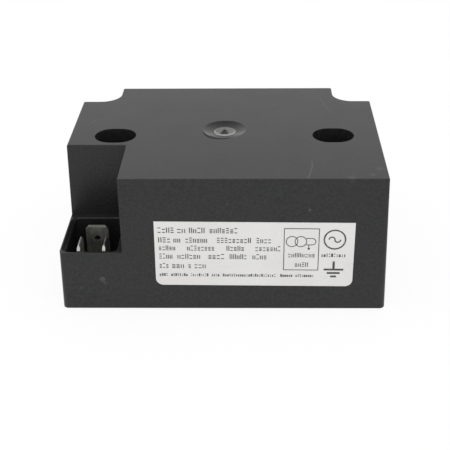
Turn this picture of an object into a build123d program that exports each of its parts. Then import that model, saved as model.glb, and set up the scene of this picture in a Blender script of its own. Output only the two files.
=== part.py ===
"""Electronic ignition transformer, potted in a moulded case.

Millimetres. +Z is up and the rating label faces -Y. The origin is at the
middle of the case's foot, on the surface that it stands on.
"""

from build123d import *
from math import cos, radians, sin, tan
import os

os.makedirs("parts", exist_ok=True)

# Case, outside: the standing walls lean in towards the top by the draft
top_width = 85.0
top_depth = 62.2
case_height = 38.6
draft = 1.36
corner_radius = 0.5
edge_radius = 0.3

# Case, walls
wall = 2.0
roof = 2.5
inner_corner_radius = 0.6

# Notches in the two back corners
notch_width = 10.7
notch_depth = 10.5
notch_radius = 5.7

# Step in the front left corner, down to the rim of the terminal well
recess_width = 16.1
recess_depth = 20.6
recess_corner_radius = 0.6
rim_height = 17.3

# Terminal well, open at the top
well_wall = 1.2
well_side_ledge = 1.5
well_back_ledge = 2.1
well_corner_radius = 1.5
well_floor = 2.0
lead_in_width = 0.9
lead_in_angle = 37.0
ledge_edge = 0.2

# Mounting slots: a deep pocket for the screw's head over a slot for its shank
slot_from_side = 12.5
slot_length = 11.4
slot_width = 9.3
slot_web = 1.6
slot_tube_wall = 1.6
screw_slot_width = 5.6
seat_height = 5.0

# Dish in the top, with the mark of the moulding gate on its floor
dish_diameter = 12.0
dish_depth = 1.0
gate_diameter = 6.5
gate_drop = 0.68

# High-voltage socket in the back wall
socket_diameter = 13.0
socket_depth = 14.0
socket_wall = 2.0
socket_floor = 2.0
socket_from_side = 21.5
socket_z = 16.0
socket_chamfer = 0.5

# High-voltage pin, its root moulded into the socket's floor
pin_diameter = 4.0
pin_root_diameter = 4.6
pin_stickout = 10.5
pin_tip_chamfer = 0.8
pin_neck_diameter = 2.8
pin_neck_length = 1.6
pin_head_length = 3.0
pin_collar_diameter = 7.0
pin_collar_length = 1.2
pin_tail_diameter = 3.0
pin_tail_length = 2.0

# Blade terminals
blade_width = 6.3
blade_thickness = 0.8
blade_drop = 0.05
blade_chamfer_x = 0.85
blade_chamfer_z = 1.3
blade_bevel_length = 0.6
blade_bevel_depth = 0.25
blade_hole_diameter = 1.7
blade_hole_drop = 4.0
blade_tail_width = 3.0
blade_tail_length = 3.0
blade_fit = 0.05
blade_from_left = 3.3
blade_from_front = 5.05
blade_spacing = 6.75
earth_blade_offset = 8.85
side_blade_turn = 90
earth_blade_turn = 0

# Rating label
label_width = 52.1
label_height = 19.0
label_thickness = 0.15
label_bottom_radius = 2.0
label_middle_x = 8.3
label_middle_z = 16.9
label_turn = -0.5

# Circuit board and the ribs that stop it
board_height = 3.0
board_thickness = 1.6
board_clearance = 0.6
board_hole_diameter = 1.3
board_slot_clearance = 0.3
rib_width = 2.0
rib_depth = 1.5
rib_offset = 12.0
lead_size = 0.8
lead_length = 2.8
resin_recess = 1.0

# Transformer core: two U halves with their legs along Y
core_leg_width = 6.4
core_leg_height = 7.0
core_yoke = 7.0
core_gap = 0.3
core_front_space = 1.2
core_back_space = 16.0
bobbin_fit = 0.3
coil_space = 0.5
coil_lift = 1.6

# Secondary: a bobbin with chambers that keep the winding's sections apart
secondary_flange_diameter = 17.0
secondary_tube_diameter = 11.4
secondary_winding_diameter = 15.0
secondary_sections = 6
chamber_flange = 1.2
secondary_foot_width = 10.0
secondary_foot_pitch = 7.5

# Primary bobbin with its power winding and its feedback winding
primary_flange_size = 12.6
primary_flange = 1.2
primary_tube_wall = 0.8
primary_winding_build = 1.4
feedback_winding_build = 0.8
feedback_winding_length = 4.0
primary_foot_pitch = 10.0
winding_corner_radius = 1.0

# Lead from the secondary to the high-voltage pin
hv_lead_diameter = 1.6
hv_lead_offset = 7.0
hv_lead_straight = 2.0

# Smoothing capacitor
smoothing_diameter = 10.0
smoothing_height = 21.0
smoothing_pitch = 5.0
smoothing_groove_drop = 2.0
smoothing_groove_depth = 0.6
smoothing_groove_width = 1.2

# Heat sink, power transistor and its screw
sink_width = 13.0
sink_height = 24.0
sink_thickness = 1.5
sink_foot = 2.5
transistor_width = 10.0
transistor_body_height = 9.0
transistor_body_thickness = 4.4
transistor_tab_height = 6.0
transistor_tab_thickness = 1.3
transistor_lift = 4.0
transistor_pitch = 2.54
screw_diameter = 3.0
screw_head_diameter = 5.5
screw_head_height = 2.0
screw_tip_length = 1.2
screw_drive_width = 0.8

# Box capacitors: width, depth, height
resonant_size = (8.0, 4.5, 11.0)
resonant_pitch = 5.0
suppression_size = (13.0, 5.0, 12.0)
suppression_pitch = 10.0
box_corner_radius = 0.6

# Round and flat parts that stand on the board
varistor_diameter = 8.0
varistor_thickness = 3.5
varistor_pitch = 5.0
fuse_diameter = 8.0
fuse_height = 7.5
fuse_pitch = 5.0
choke_diameter = 9.0
choke_height = 12.0
choke_flange = 1.5
choke_post_diameter = 4.5
choke_winding_diameter = 8.0
choke_pitch = 5.0
bridge_size = (13.0, 3.4, 10.0)
bridge_bevel = 2.5
bridge_pitch = 3.3
part_gap = 1.0
wall_gap = 0.5

# Small parts that lie under the primary bobbin
axial_lift = 0.5
axial_pitch = 10.0
axial_spacing = 5.0
resistor_diameter = 2.8
resistor_length = 7.0
diode_diameter = 2.4
diode_length = 5.0

# Case levels and corners that follow from the sizes
lean = tan(radians(draft))
draft_run = case_height * lean
base_width = top_width + 2 * draft_run
base_depth = top_depth + 2 * draft_run
rim_run = (case_height - rim_height) * lean
inner_x = top_width / 2 - wall
inner_y = top_depth / 2 - wall
roof_z = case_height - roof
board_top = board_height + board_thickness
well_bottom_z = board_top + well_floor

recess_x = recess_width - top_width / 2
recess_y = recess_depth - top_depth / 2
well_left = well_wall - top_width / 2 - rim_run
well_right = recess_x - well_side_ledge
well_front = well_wall - top_depth / 2 - rim_run
well_back = recess_y - well_back_ledge

# Mounting slots
slot_y = recess_y + slot_web + slot_width / 2
slot_x = top_width / 2 - slot_from_side
slot_travel = slot_length - slot_width
slot_places = [(-slot_x, slot_y), (slot_x, slot_y)]
tube_length = slot_length + 2 * slot_tube_wall
tube_width = slot_width + 2 * slot_tube_wall

# Socket: its mouth is in the back wall, at the socket's own height
socket_x = top_width / 2 - socket_from_side
socket_mouth_y = top_depth / 2 + (case_height - socket_z) * lean
socket_bottom_y = socket_mouth_y - socket_depth
socket_inner_y = socket_bottom_y - socket_floor
pin_collar_y = socket_inner_y - pin_collar_length
pin_tail_y = pin_collar_y - pin_tail_length

# Blades: line and neutral stand edge-on to the front, earth stands behind and faces it
line_blade_x = well_left + blade_from_left
neutral_blade_x = line_blade_x + blade_spacing
earth_blade_x = (line_blade_x + neutral_blade_x) / 2
side_blade_y = well_front + blade_from_front
earth_blade_y = side_blade_y + earth_blade_offset
blades = {
    "line_terminal": (line_blade_x, side_blade_y, side_blade_turn),
    "neutral_terminal": (neutral_blade_x, side_blade_y, side_blade_turn),
    "earth_terminal": (earth_blade_x, earth_blade_y, earth_blade_turn),
}

# Transformer: both coils stand clear of the board, side by side in the middle of the case
coil_z = board_top + coil_lift + secondary_flange_diameter / 2
coils_width = secondary_flange_diameter + coil_space + primary_flange_size
secondary_x = (coils_width - secondary_flange_diameter) / 2
primary_x = (primary_flange_size - coils_width) / 2
core_front_y = core_front_space - inner_y
core_back_y = inner_y - core_back_space
window_front_y = core_front_y + core_yoke
window_back_y = core_back_y - core_yoke
core_window = window_back_y - window_front_y
window_middle_y = (window_front_y + window_back_y) / 2
leg_hole_width = core_leg_width + 2 * bobbin_fit
leg_hole_height = core_leg_height + 2 * bobbin_fit
primary_tube_width = leg_hole_width + 2 * primary_tube_wall
primary_tube_height = leg_hole_height + 2 * primary_tube_wall
chamber_pitch = (core_window - chamber_flange) / secondary_sections

# Free places on the board: before and behind the slot tubes, and two rows behind the core
side_x = (slot_x - tube_length / 2 + inner_x) / 2
tube_front_y = slot_y - tube_width / 2
tube_back_y = slot_y + tube_width / 2
notch_inner_x = inner_x - notch_width
notch_inner_y = inner_y - notch_depth
behind_tubes_y = (tube_back_y + notch_inner_y) / 2
back_row_y = inner_y - rib_depth - wall_gap - choke_diameter / 2
middle_row_y = core_back_y + wall_gap + varistor_thickness / 2

smoothing_place = (side_x, wall_gap + smoothing_diameter / 2 - inner_y)
sink_front_y = tube_front_y - wall_gap - sink_foot
screw_z = board_top + transistor_lift + transistor_body_height + transistor_tab_height / 2
suppression_place = (-side_x, behind_tubes_y)
resonant_x = socket_x + socket_diameter / 2 + socket_wall + wall_gap + resonant_size[0] / 2
resonant_place = (resonant_x, behind_tubes_y)
fuse_x = part_gap + fuse_diameter / 2 - notch_inner_x
choke_x = fuse_x + fuse_diameter / 2 + part_gap + choke_diameter / 2
bridge_x = suppression_size[0] / 2 + part_gap + bridge_size[0] / 2 - side_x
varistor_x = bridge_x + bridge_size[0] / 2 + part_gap + varistor_diameter / 2
varistor_place = (varistor_x, middle_row_y)


def wall_plan(inset, convex_radius, concave_radius):
    """Plan of the standing walls at the foot, moved inwards by inset."""
    half_width = base_width / 2 - inset
    half_depth = base_depth / 2 - inset
    with BuildSketch() as plan:
        Rectangle(2 * half_width, 2 * half_depth)
        with Locations((-half_width, half_depth), (half_width, half_depth)):
            RectangleRounded(2 * notch_width, 2 * notch_depth, concave_radius, mode=Mode.SUBTRACT)
        outer_corners = plan.vertices().filter_by(
            lambda v: abs(abs(v.X) - half_width) < 0.01 or abs(abs(v.Y) - half_depth) < 0.01
        )
        fillet(outer_corners, convex_radius)
    return plan.sketch


def slots_plan(length, width):
    """Plan of both slots."""
    with BuildSketch() as plan:
        with Locations(*slot_places):
            SlotOverall(length, width)
    return plan.sketch


def across(x, y, z):
    """Plane across a line that runs from front to back."""
    return Plane(origin=(x, y, z), x_dir=(-1, 0, 0), z_dir=(0, 1, 0))


def lead_row(x, y, pitch, count=2):
    """Places of a component's leads, in a row along X."""
    first = x - pitch * (count - 1) / 2
    return [(first + pitch * i, y) for i in range(count)]


def leads(places, start=board_top):
    """Square leads that go down through the board."""
    with BuildPart() as pins:
        with BuildSketch(Plane.XY.offset(board_top - lead_length)):
            with Locations(*places):
                Rectangle(lead_size, lead_size)
        extrude(amount=lead_length + start - board_top)
    return pins.part


def finish(piece, name):
    """Label a finished piece and write it."""
    piece.label = name
    export_step(piece, f"parts/{name}.step")
    return piece


# Space inside the case, which the resin fills round the electronics
with BuildPart() as cavity:
    with BuildSketch(Plane.XY):
        add(wall_plan(wall, inner_corner_radius + draft_run, notch_radius - draft_run + wall))
    extrude(amount=roof_z, taper=draft)
    with BuildSketch(Plane.XY.offset(board_top)):
        with Locations((recess_x + wall, recess_y + wall)):
            Rectangle(base_width / 2, base_depth / 2, align=(Align.MAX, Align.MAX))
    extrude(amount=case_height, mode=Mode.SUBTRACT)
    with BuildSketch(Plane.XY):
        add(slots_plan(tube_length, tube_width))
    extrude(amount=case_height, mode=Mode.SUBTRACT)
    with BuildSketch(across(socket_x, socket_inner_y, socket_z)):
        Circle(socket_diameter / 2 + socket_wall)
    extrude(amount=socket_depth + socket_floor, mode=Mode.SUBTRACT)
    # Ribs that stop the board, on the side walls and the back wall
    with BuildSketch(Plane.XY.offset(board_top)):
        with Locations((inner_x, -rib_offset), (inner_x, rib_offset), (-inner_x, rib_offset)):
            Rectangle(2 * rib_depth, rib_width)
        with Locations((-rib_offset, inner_y)):
            Rectangle(rib_width, 2 * rib_depth)
    extrude(amount=case_height, mode=Mode.SUBTRACT)

# Case: one moulding, open below
with BuildPart() as case:
    with BuildSketch(Plane.XY):
        add(wall_plan(0, corner_radius + draft_run, notch_radius - draft_run))
    extrude(amount=case_height, taper=draft)
    # Step down to the rim of the well
    with BuildSketch(Plane.XY.offset(rim_height)):
        with Locations((recess_x, recess_y)):
            Rectangle(base_width / 2, base_depth / 2, align=(Align.MAX, Align.MAX))
    extrude(amount=case_height, mode=Mode.SUBTRACT)
    step_corner = case.edges().filter_by(Axis.Z).sort_by_distance((recess_x, recess_y, case_height))[0]
    fillet(step_corner, recess_corner_radius)
    flat_faces = case.faces().filter_by(Plane.XY).sort_by(Axis.Z)
    fillet(flat_faces[-1].edges() + flat_faces[0].edges(), edge_radius)
    # Terminal well
    with BuildSketch(Plane.XY.offset(rim_height)):
        with Locations(((well_left + well_right) / 2, (well_front + well_back) / 2)):
            RectangleRounded(well_right - well_left, well_back - well_front, well_corner_radius)
    extrude(amount=well_bottom_z - rim_height, mode=Mode.SUBTRACT)
    # Lead-in: the two outer walls thin out to their rim, and the two ledges get a small edge
    lead_in_depth = lead_in_width / tan(radians(lead_in_angle))
    lead_in_left = well_left - lead_in_width
    lead_in_front = well_front - lead_in_width
    lead_in_length = well_right + ledge_edge - lead_in_left
    lead_in_breadth = well_back + ledge_edge - lead_in_front
    with BuildSketch(Plane.XY.offset(rim_height)):
        with Locations((lead_in_left + lead_in_length / 2, lead_in_front + lead_in_breadth / 2)):
            RectangleRounded(lead_in_length, lead_in_breadth, well_corner_radius + lead_in_width)
    extrude(amount=-lead_in_depth, taper=lead_in_angle, mode=Mode.SUBTRACT)
    add(cavity.part, mode=Mode.SUBTRACT)
    # Pockets for the screws' heads, and the slots in their seats
    with BuildSketch(Plane.XY.offset(seat_height)):
        add(slots_plan(slot_length, slot_width))
    extrude(amount=case_height, mode=Mode.SUBTRACT)
    with BuildSketch(Plane.XY):
        add(slots_plan(screw_slot_width + slot_travel, screw_slot_width))
    extrude(amount=case_height, mode=Mode.SUBTRACT)
    # Dish, a shallow bowl, with the round mark of the gate standing in its middle
    dish_radius = dish_diameter / 2
    bowl_radius = (dish_radius**2 + dish_depth**2) / (2 * dish_depth)
    bowl_centre_z = case_height - dish_depth + bowl_radius
    gate_edge_z = bowl_centre_z - (bowl_radius**2 - gate_diameter**2 / 4) ** 0.5
    gate_z = case_height - gate_drop
    above_dish_z = case_height + dish_depth
    with BuildSketch(Plane.XZ):
        with BuildLine():
            Polyline((gate_diameter / 2, gate_edge_z), (gate_diameter / 2, gate_z), (0, gate_z))
            Polyline((0, gate_z), (0, above_dish_z), (dish_radius, above_dish_z), (dish_radius, case_height))
            RadiusArc((dish_radius, case_height), (gate_diameter / 2, gate_edge_z), bowl_radius)
        make_face()
    revolve(axis=Axis.Z, mode=Mode.SUBTRACT)
    # High-voltage socket, with a hole for the pin through its floor
    with BuildSketch(across(socket_x, socket_bottom_y, socket_z)):
        Circle(socket_diameter / 2)
    extrude(amount=2 * socket_depth, mode=Mode.SUBTRACT)
    with BuildSketch(across(socket_x, socket_inner_y, socket_z)):
        Circle(pin_root_diameter / 2)
    extrude(amount=socket_floor, mode=Mode.SUBTRACT)
    mouth = case.edges().filter_by(GeomType.ELLIPSE).sort_by_distance((socket_x, base_depth, socket_z))[0]
    chamfer(mouth, socket_chamfer)
    # Slits in the well's floor for the blades
    with BuildSketch(Plane.XY.offset(board_top)):
        for x, y, turn in blades.values():
            with Locations(Location((x, y), turn)):
                Rectangle(blade_width + 2 * blade_fit, blade_thickness + 2 * blade_fit)
    extrude(amount=well_floor, mode=Mode.SUBTRACT)
finish(case.part, "case")

# Rating label, stuck on the leaning front wall
label_y = -top_depth / 2 - (case_height - label_middle_z) * lean
front_normal = (0, -cos(radians(draft)), sin(radians(draft)))
label_edge = (cos(radians(label_turn)), 0, sin(radians(label_turn)))
label_plane = Plane(origin=(label_middle_x, label_y, label_middle_z), x_dir=label_edge, z_dir=front_normal)
with BuildPart() as label:
    with BuildSketch(label_plane) as label_plan:
        Rectangle(label_width, label_height)
        fillet(label_plan.vertices().sort_by(Axis.Y)[:2], label_bottom_radius)
    extrude(amount=label_thickness)
finish(label.part, "rating_label")

# High-voltage pin: snap-on head, collar behind the socket's floor, tail for the lead
pin_tip_y = socket_bottom_y + pin_stickout
pin_neck_front_y = pin_tip_y - pin_head_length
pin_neck_back_y = pin_neck_front_y - pin_neck_length
with BuildPart() as hv_pin:
    with BuildSketch(Plane(origin=(socket_x, 0, socket_z), x_dir=(0, 1, 0), z_dir=(1, 0, 0))):
        with BuildLine():
            Polyline(
                (pin_tail_y, 0),
                (pin_tail_y, pin_tail_diameter / 2),
                (pin_collar_y, pin_tail_diameter / 2),
                (pin_collar_y, pin_collar_diameter / 2),
                (socket_inner_y, pin_collar_diameter / 2),
                (socket_inner_y, pin_root_diameter / 2),
                (socket_bottom_y, pin_root_diameter / 2),
                (socket_bottom_y, pin_diameter / 2),
                (pin_neck_back_y, pin_diameter / 2),
                (pin_neck_back_y, pin_neck_diameter / 2),
                (pin_neck_front_y, pin_neck_diameter / 2),
                (pin_neck_front_y, pin_diameter / 2),
                (pin_tip_y - pin_tip_chamfer, pin_diameter / 2),
                (pin_tip_y, pin_diameter / 2 - pin_tip_chamfer),
                (pin_tip_y, 0),
                close=True,
            )
        make_face()
    revolve(axis=Axis((socket_x, 0, socket_z), (0, 1, 0)))
finish(hv_pin.part, "high_voltage_pin")

# Blade terminals, each with its tail soldered into the board
blade_top_z = rim_height - blade_drop
blade_parts = []
for name, (x, y, turn) in blades.items():
    with BuildPart() as blade:
        width_dir = (cos(radians(turn)), sin(radians(turn)), 0)
        face_dir = (sin(radians(turn)), -cos(radians(turn)), 0)
        with BuildSketch(Plane(origin=(x, y, 0), x_dir=width_dir, z_dir=face_dir)):
            with BuildLine():
                Polyline(
                    (-blade_width / 2, board_top),
                    (-blade_width / 2, blade_top_z - blade_chamfer_z),
                    (blade_chamfer_x - blade_width / 2, blade_top_z),
                    (blade_width / 2 - blade_chamfer_x, blade_top_z),
                    (blade_width / 2, blade_top_z - blade_chamfer_z),
                    (blade_width / 2, board_top),
                    close=True,
                )
            make_face()
            with Locations((0, blade_top_z - blade_hole_drop)):
                Circle(blade_hole_diameter / 2, mode=Mode.SUBTRACT)
            with Locations((0, board_top)):
                Rectangle(blade_tail_width, blade_tail_length, align=(Align.CENTER, Align.MAX))
        extrude(amount=blade_thickness / 2, both=True)
        # Bevels that lead a receptacle on, along the tip of each wide face
        for _ in range(2):
            wide_face = blade.faces().sort_by(SortBy.AREA)[-1]
            tip_edge = wide_face.outer_wire().edges().sort_by(Axis.Z)[-1]
            chamfer(tip_edge, blade_bevel_length, blade_bevel_depth, reference=wide_face)
    blade_parts.append(finish(blade.part, name))


def core_half(yoke_y, end_y):
    """U half of the core, from the outside of its yoke to the ends of its legs."""
    direction = 1 if end_y > yoke_y else -1
    yoke_align = (Align.CENTER, Align.MIN if direction > 0 else Align.MAX)
    with BuildPart() as half:
        with BuildSketch(Plane.XY.offset(coil_z - core_leg_height / 2)):
            with Locations(((primary_x + secondary_x) / 2, yoke_y)):
                Rectangle(secondary_x - primary_x + core_leg_width, core_yoke, align=yoke_align)
            with Locations((primary_x, yoke_y), (secondary_x, yoke_y)):
                Rectangle(core_leg_width, abs(end_y - yoke_y), align=yoke_align)
        extrude(amount=core_leg_height)
    return half.part


front_core = finish(core_half(core_front_y, window_middle_y - core_gap / 2), "front_core_half")
back_core = finish(core_half(core_back_y, window_middle_y + core_gap / 2), "back_core_half")

# Shims that set the core's gap
with BuildPart() as shims:
    for x in (primary_x, secondary_x):
        with BuildSketch(across(x, window_middle_y, coil_z)):
            Rectangle(core_leg_width, core_leg_height)
    extrude(amount=core_gap / 2, both=True)
finish(shims.part, "core_gap_shims")

# Secondary bobbin: chambers between round flanges, and a foot at each end
secondary_pins = lead_row(secondary_x, window_front_y + chamber_flange / 2, secondary_foot_pitch)
secondary_pins += lead_row(secondary_x, window_back_y - chamber_flange / 2, secondary_foot_pitch)
with BuildPart() as secondary_bobbin:
    with BuildSketch(across(secondary_x, window_front_y, coil_z)):
        Circle(secondary_tube_diameter / 2)
    extrude(amount=core_window)
    for i in range(secondary_sections + 1):
        with BuildSketch(across(secondary_x, window_front_y + i * chamber_pitch, coil_z)):
            Circle(secondary_flange_diameter / 2)
            if i in (0, secondary_sections):
                Rectangle(secondary_foot_width, coil_z - board_top, align=(Align.CENTER, Align.MAX))
        extrude(amount=chamber_flange)
    with BuildSketch(across(secondary_x, window_front_y, coil_z)):
        Rectangle(leg_hole_width, leg_hole_height)
    extrude(amount=core_window, mode=Mode.SUBTRACT)
    add(leads(secondary_pins))
finish(secondary_bobbin.part, "secondary_bobbin")

# Secondary winding, one section in each chamber
secondary_windings = []
for i in range(secondary_sections):
    with BuildPart() as section:
        start_y = window_front_y + i * chamber_pitch + chamber_flange
        with BuildSketch(across(secondary_x, start_y, coil_z)):
            Circle(secondary_winding_diameter / 2)
            Circle(secondary_tube_diameter / 2, mode=Mode.SUBTRACT)
        extrude(amount=chamber_pitch - chamber_flange)
    secondary_windings.append(finish(section.part, f"secondary_winding_{i + 1}"))

# Primary bobbin: two winding spaces between three flanges, and a foot at each end
primary_space_y = window_front_y + primary_flange
divider_y = primary_space_y + feedback_winding_length
power_winding_y = divider_y + primary_flange
power_winding_length = window_back_y - primary_flange - power_winding_y
primary_pins = lead_row(primary_x, window_front_y + primary_flange / 2, primary_foot_pitch)
primary_pins += lead_row(primary_x, window_back_y - primary_flange / 2, primary_foot_pitch)
with BuildPart() as primary_bobbin:
    with BuildSketch(across(primary_x, window_front_y, coil_z)):
        Rectangle(primary_tube_width, primary_tube_height)
    extrude(amount=core_window)
    for y in (window_front_y, divider_y, window_back_y - primary_flange):
        with BuildSketch(across(primary_x, y, coil_z)):
            Rectangle(primary_flange_size, primary_flange_size)
            if y != divider_y:
                Rectangle(primary_flange_size, coil_z - board_top, align=(Align.CENTER, Align.MAX))
        extrude(amount=primary_flange)
    with BuildSketch(across(primary_x, window_front_y, coil_z)):
        Rectangle(leg_hole_width, leg_hole_height)
    extrude(amount=core_window, mode=Mode.SUBTRACT)
    add(leads(primary_pins))
finish(primary_bobbin.part, "primary_bobbin")


def square_winding(y, length, build):
    """Winding on the primary bobbin's tube, with the corners that the wire takes."""
    outer_width = primary_tube_width + 2 * build
    outer_height = primary_tube_height + 2 * build
    with BuildPart() as winding:
        with BuildSketch(across(primary_x, y, coil_z)):
            RectangleRounded(outer_width, outer_height, min(winding_corner_radius, build))
            Rectangle(primary_tube_width, primary_tube_height, mode=Mode.SUBTRACT)
        extrude(amount=length)
    return winding.part


primary_winding = square_winding(power_winding_y, power_winding_length, primary_winding_build)
feedback_winding = square_winding(primary_space_y, feedback_winding_length, feedback_winding_build)
finish(primary_winding, "primary_winding")
finish(feedback_winding, "feedback_winding")

# High-voltage lead, from the back flange of the secondary to the pin's tail
hv_lead_x = secondary_x + hv_lead_offset
hv_lead_route = [
    (hv_lead_x, window_back_y, socket_z),
    (hv_lead_x, window_back_y + hv_lead_straight, socket_z),
    (socket_x, pin_tail_y - hv_lead_straight, socket_z),
    (socket_x, pin_tail_y, socket_z),
]
with BuildPart() as hv_lead:
    with BuildLine():
        FilletPolyline(*hv_lead_route, radius=hv_lead_diameter)
    with BuildSketch(across(*hv_lead_route[0])):
        Circle(hv_lead_diameter / 2)
    sweep()
finish(hv_lead.part, "high_voltage_lead")

# Smoothing capacitor: a can with its crimped groove near the foot
smoothing_x, smoothing_y = smoothing_place
smoothing_radius = smoothing_diameter / 2
groove_z = board_top + smoothing_groove_drop
smoothing_pins = lead_row(*smoothing_place, smoothing_pitch)
with BuildPart() as smoothing_capacitor:
    with BuildSketch(Plane(origin=(smoothing_x, smoothing_y, 0), x_dir=(1, 0, 0), z_dir=(0, -1, 0))):
        with BuildLine():
            Polyline(
                (0, board_top),
                (smoothing_radius, board_top),
                (smoothing_radius, groove_z),
                (smoothing_radius - smoothing_groove_depth, groove_z + smoothing_groove_width / 2),
                (smoothing_radius, groove_z + smoothing_groove_width),
                (smoothing_radius, board_top + smoothing_height),
                (0, board_top + smoothing_height),
                close=True,
            )
        make_face()
    revolve(axis=Axis((smoothing_x, smoothing_y, 0), (0, 0, 1)))
    add(leads(smoothing_pins))
finish(smoothing_capacitor.part, "smoothing_capacitor")

# Heat sink: an angle that stands on the board behind the transistor
with BuildPart() as heat_sink:
    with BuildSketch(Plane.YZ.offset(side_x)):
        with Locations((sink_front_y, board_top)):
            Rectangle(sink_thickness, sink_height, align=(Align.MIN, Align.MIN))
            Rectangle(sink_foot, sink_thickness, align=(Align.MIN, Align.MIN))
    extrude(amount=sink_width / 2, both=True)
    with BuildSketch(across(side_x, sink_front_y, screw_z)):
        Circle(screw_diameter / 2)
    extrude(amount=sink_thickness, mode=Mode.SUBTRACT)
finish(heat_sink.part, "heat_sink")

# Power transistor: moulded body with a metal tab, flat against the heat sink
transistor_z = board_top + transistor_lift
transistor_pins = lead_row(side_x, sink_front_y - transistor_body_thickness / 2, transistor_pitch, 3)
with BuildPart() as transistor:
    with BuildSketch(Plane.XY.offset(transistor_z)):
        with Locations((side_x, sink_front_y)):
            Rectangle(transistor_width, transistor_body_thickness, align=(Align.CENTER, Align.MAX))
    extrude(amount=transistor_body_height)
    with BuildSketch(Plane.XY.offset(transistor_z + transistor_body_height)):
        with Locations((side_x, sink_front_y)):
            Rectangle(transistor_width, transistor_tab_thickness, align=(Align.CENTER, Align.MAX))
    extrude(amount=transistor_tab_height)
    with BuildSketch(across(side_x, sink_front_y - transistor_tab_thickness, screw_z)):
        Circle(screw_diameter / 2)
    extrude(amount=transistor_tab_thickness, mode=Mode.SUBTRACT)
    add(leads(transistor_pins, transistor_z))
finish(transistor.part, "power_transistor")

# Screw that holds the transistor to the heat sink
screw_seat_y = sink_front_y - transistor_tab_thickness
screw_length = transistor_tab_thickness + sink_thickness + screw_tip_length
with BuildPart() as screw:
    with BuildSketch(across(side_x, screw_seat_y, screw_z)):
        Circle(screw_diameter / 2)
    extrude(amount=screw_length)
    with BuildSketch(across(side_x, screw_seat_y, screw_z)):
        Circle(screw_head_diameter / 2)
    extrude(amount=-screw_head_height)
    with BuildSketch(across(side_x, screw_seat_y - screw_head_height, screw_z)):
        Rectangle(screw_head_diameter, screw_drive_width)
    extrude(amount=screw_head_height / 2, mode=Mode.SUBTRACT)
finish(screw.part, "transistor_screw")


def box_part(x, y, size, pins):
    """Block with rounded standing edges and leads below."""
    with BuildPart() as block:
        with BuildSketch(Plane.XY.offset(board_top)):
            with Locations((x, y)):
                RectangleRounded(size[0], size[1], box_corner_radius)
        extrude(amount=size[2])
        add(leads(pins))
    return block.part


# Box capacitors
suppression_pins = lead_row(*suppression_place, suppression_pitch)
resonant_pins = lead_row(*resonant_place, resonant_pitch)
suppression = box_part(*suppression_place, suppression_size, suppression_pins)
resonant = box_part(*resonant_place, resonant_size, resonant_pins)
finish(suppression, "suppression_capacitor")
finish(resonant, "resonant_capacitor")

# Varistor: a coated disc that stands on its edge, with a flat where it meets the board
varistor_pins = lead_row(*varistor_place, varistor_pitch)
varistor_radius = varistor_diameter / 2
with BuildPart() as varistor:
    with BuildSketch(across(varistor_place[0], varistor_place[1], board_top)):
        with Locations((0, varistor_radius)):
            Circle(varistor_radius)
        Rectangle(varistor_pitch + lead_size, varistor_radius, align=(Align.CENTER, Align.MIN))
    extrude(amount=varistor_thickness / 2, both=True)
    add(leads(varistor_pins))
finish(varistor.part, "varistor")

# Mains fuse: a round capsule
fuse_pins = lead_row(fuse_x, back_row_y, fuse_pitch)
with BuildPart() as fuse:
    with BuildSketch(Plane.XY.offset(board_top)):
        with Locations((fuse_x, back_row_y)):
            Circle(fuse_diameter / 2)
    extrude(amount=fuse_height)
    add(leads(fuse_pins))
finish(fuse.part, "mains_fuse")

# Choke: a drum core with its winding
choke_pins = lead_row(choke_x, back_row_y, choke_pitch)
choke_space_z = board_top + choke_flange
choke_space = choke_height - 2 * choke_flange
with BuildPart() as choke_core:
    for z, height, diameter in (
        (board_top, choke_flange, choke_diameter),
        (choke_space_z, choke_space, choke_post_diameter),
        (choke_space_z + choke_space, choke_flange, choke_diameter),
    ):
        with BuildSketch(Plane.XY.offset(z)):
            with Locations((choke_x, back_row_y)):
                Circle(diameter / 2)
        extrude(amount=height)
    add(leads(choke_pins))
finish(choke_core.part, "choke_core")

with BuildPart() as choke_winding:
    with BuildSketch(Plane.XY.offset(choke_space_z)):
        with Locations((choke_x, back_row_y)):
            Circle(choke_winding_diameter / 2)
            Circle(choke_post_diameter / 2, mode=Mode.SUBTRACT)
    extrude(amount=choke_space)
finish(choke_winding.part, "choke_winding")

# Bridge rectifier: a flat block with one top corner cut, four leads in a row
bridge_pins = lead_row(bridge_x, middle_row_y, bridge_pitch, 4)
with BuildPart() as bridge:
    with BuildSketch(across(bridge_x, middle_row_y, board_top)) as bridge_plan:
        Rectangle(bridge_size[0], bridge_size[2], align=(Align.CENTER, Align.MIN))
        chamfer(bridge_plan.vertices().group_by(Axis.Y)[-1].sort_by(Axis.X)[-1], bridge_bevel)
    extrude(amount=bridge_size[1] / 2, both=True)
    add(leads(bridge_pins))
finish(bridge.part, "bridge_rectifier")


def axial_part(y, diameter, length):
    """Round body that lies along X, on leads bent down through the board."""
    axis_z = board_top + axial_lift + diameter / 2
    places = lead_row(primary_x, y, axial_pitch)
    with BuildPart() as body:
        with BuildSketch(Plane(origin=(primary_x, y, axis_z), x_dir=(0, 1, 0), z_dir=(1, 0, 0))):
            Circle(diameter / 2)
        extrude(amount=length / 2, both=True)
        with BuildSketch(Plane(origin=(primary_x, y, axis_z), x_dir=(0, 1, 0), z_dir=(1, 0, 0))):
            Rectangle(lead_size, lead_size)
        extrude(amount=(axial_pitch + lead_size) / 2, both=True)
        add(leads(places, axis_z))
    return body.part, places


start_resistor, start_pins = axial_part(window_middle_y - axial_spacing, resistor_diameter, resistor_length)
gate_resistor, gate_pins = axial_part(window_middle_y, resistor_diameter, resistor_length)
clamp_diode, diode_pins = axial_part(window_middle_y + axial_spacing, diode_diameter, diode_length)
finish(start_resistor, "start_resistor")
finish(gate_resistor, "gate_resistor")
finish(clamp_diode, "clamp_diode")

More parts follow.
